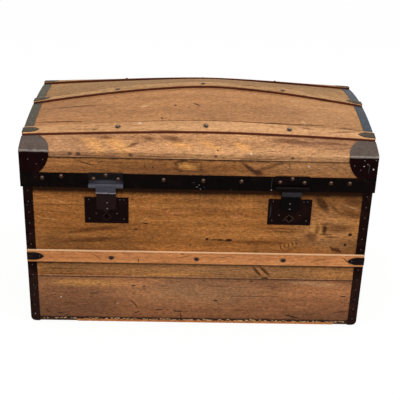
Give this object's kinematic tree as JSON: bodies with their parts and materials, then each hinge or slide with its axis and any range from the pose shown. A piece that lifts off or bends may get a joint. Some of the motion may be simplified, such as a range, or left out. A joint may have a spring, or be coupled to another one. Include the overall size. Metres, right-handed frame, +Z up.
{
  "type": "dome top trunk",
  "caption": "Boarded wooden travel trunk with a bowed dome lid on back hinges, iron edging and corner caps, wooden slats, front hasp locks and end handles.",
  "frame": {"origin": "on the floor under the middle of the trunk's bounding box", "axes": "+X along the trunk to the right as seen from the front, +Y to the back with the hasps on the -Y side, +Z up"},
  "size_m": [0.834, 0.5057, 0.5412],
  "materials": {
    "pine_boards": "old stripped pine, waxed",
    "pine_slats": "worn pine",
    "pine_floor": "raw pine",
    "black_iron": "worn black iron sheet",
    "lock_iron": "dark oxidised",
    "hasp_steel": "dark worn steel",
    "bright_steel": "worn bright",
    "rivet_brown": "brown oxide"
  },
  "bodies": {
    "trunk_body": {"front_board_lower": "pine_boards", "front_board_upper": "pine_boards", "back_board_lower": "pine_boards", "back_board_upper": "pine_boards", "left_end_board": "pine_boards", "right_end_board": "pine_boards", "bottom_board_left": "pine_floor", "bottom_board_middle": "pine_floor", "bottom_board_right": "pine_floor", "front_batten": "pine_slats", "back_batten": "pine_slats", "batten_end_clasps": "black_iron", "corner_edging_front_left": "black_iron", "corner_edging_front_right": "black_iron", "corner_edging_back_left": "black_iron", "corner_edging_back_right": "black_iron", "body_nails": "bright_steel", "batten_nails": "bright_steel", "left_lock_plate": "lock_iron", "right_lock_plate": "lock_iron", "left_lock_case": "lock_iron", "right_lock_case": "lock_iron", "handle_brackets": "lock_iron", "left_hinge_body_leaf": "lock_iron", "right_hinge_body_leaf": "lock_iron"},
    "lid": {"lid_front_board": "pine_boards", "lid_back_board": "pine_boards", "lid_left_end_board": "pine_boards", "lid_right_end_board": "pine_boards", "lid_rib": "pine_boards", "lid_top_board_front": "pine_boards", "lid_top_board_back": "pine_boards", "lid_top_board_mid_front": "pine_boards", "lid_top_board_mid_back": "pine_boards", "lid_slat_front": "pine_slats", "lid_slat_middle": "pine_slats", "lid_slat_back": "pine_slats", "slat_end_clasps": "black_iron", "lid_corner_iron_front_left": "black_iron", "lid_corner_iron_front_right": "black_iron", "lid_corner_iron_back_left": "black_iron", "lid_corner_iron_back_right": "black_iron", "lid_edging_left": "black_iron", "lid_edging_right": "black_iron", "lid_band": "black_iron", "left_hasp_hinge_plate": "lock_iron", "right_hasp_hinge_plate": "lock_iron", "left_hinge_lid_leaf": "lock_iron", "right_hinge_lid_leaf": "lock_iron", "slat_nails": "bright_steel", "lid_tacks": "bright_steel", "hasp_hinge_pins": "bright_steel", "lid_hinge_pins": "bright_steel", "band_rivets": "rivet_brown"},
    "left_hasp": {"left_hasp": "hasp_steel"},
    "right_hasp": {"right_hasp": "hasp_steel"},
    "left_lock_bolt": {"left_lock_bolt": "bright_steel"},
    "right_lock_bolt": {"right_lock_bolt": "bright_steel"},
    "left_handle": {"left_handle": "lock_iron"},
    "right_handle": {"right_handle": "lock_iron"}
  },
  "joints": [
    {"name": "lid_hinge", "type": "hinge", "parent": "trunk_body", "child": "lid", "pos_m": [0, 0.2473, 0.374], "axis": [-1, 0, 0], "range_deg": [0, 105]},
    {"name": "left_hasp_hinge", "type": "hinge", "parent": "lid", "child": "left_hasp", "pos_m": [-0.2105, -0.2489, 0.374], "axis": [-1, 0, 0], "range_deg": [0, 130]},
    {"name": "right_hasp_hinge", "type": "hinge", "parent": "lid", "child": "right_hasp", "pos_m": [0.2125, -0.2489, 0.3751], "axis": [-1, 0, 0], "range_deg": [0, 130]},
    {"name": "left_bolt_slide", "type": "slide", "parent": "trunk_body", "child": "left_lock_bolt", "axis": [-1, 0, 0], "range_m": [0, 0.009]},
    {"name": "right_bolt_slide", "type": "slide", "parent": "trunk_body", "child": "right_lock_bolt", "axis": [-1, 0, 0], "range_m": [0, 0.009]},
    {"name": "left_handle_hinge", "type": "hinge", "parent": "trunk_body", "child": "left_handle", "pos_m": [-0.41, 0, 0.262], "axis": [0, 1, 0], "range_deg": [0, 90]},
    {"name": "right_handle_hinge", "type": "hinge", "parent": "trunk_body", "child": "right_handle", "pos_m": [0.41, 0, 0.262], "axis": [0, -1, 0], "range_deg": [0, 90]}
  ]
}
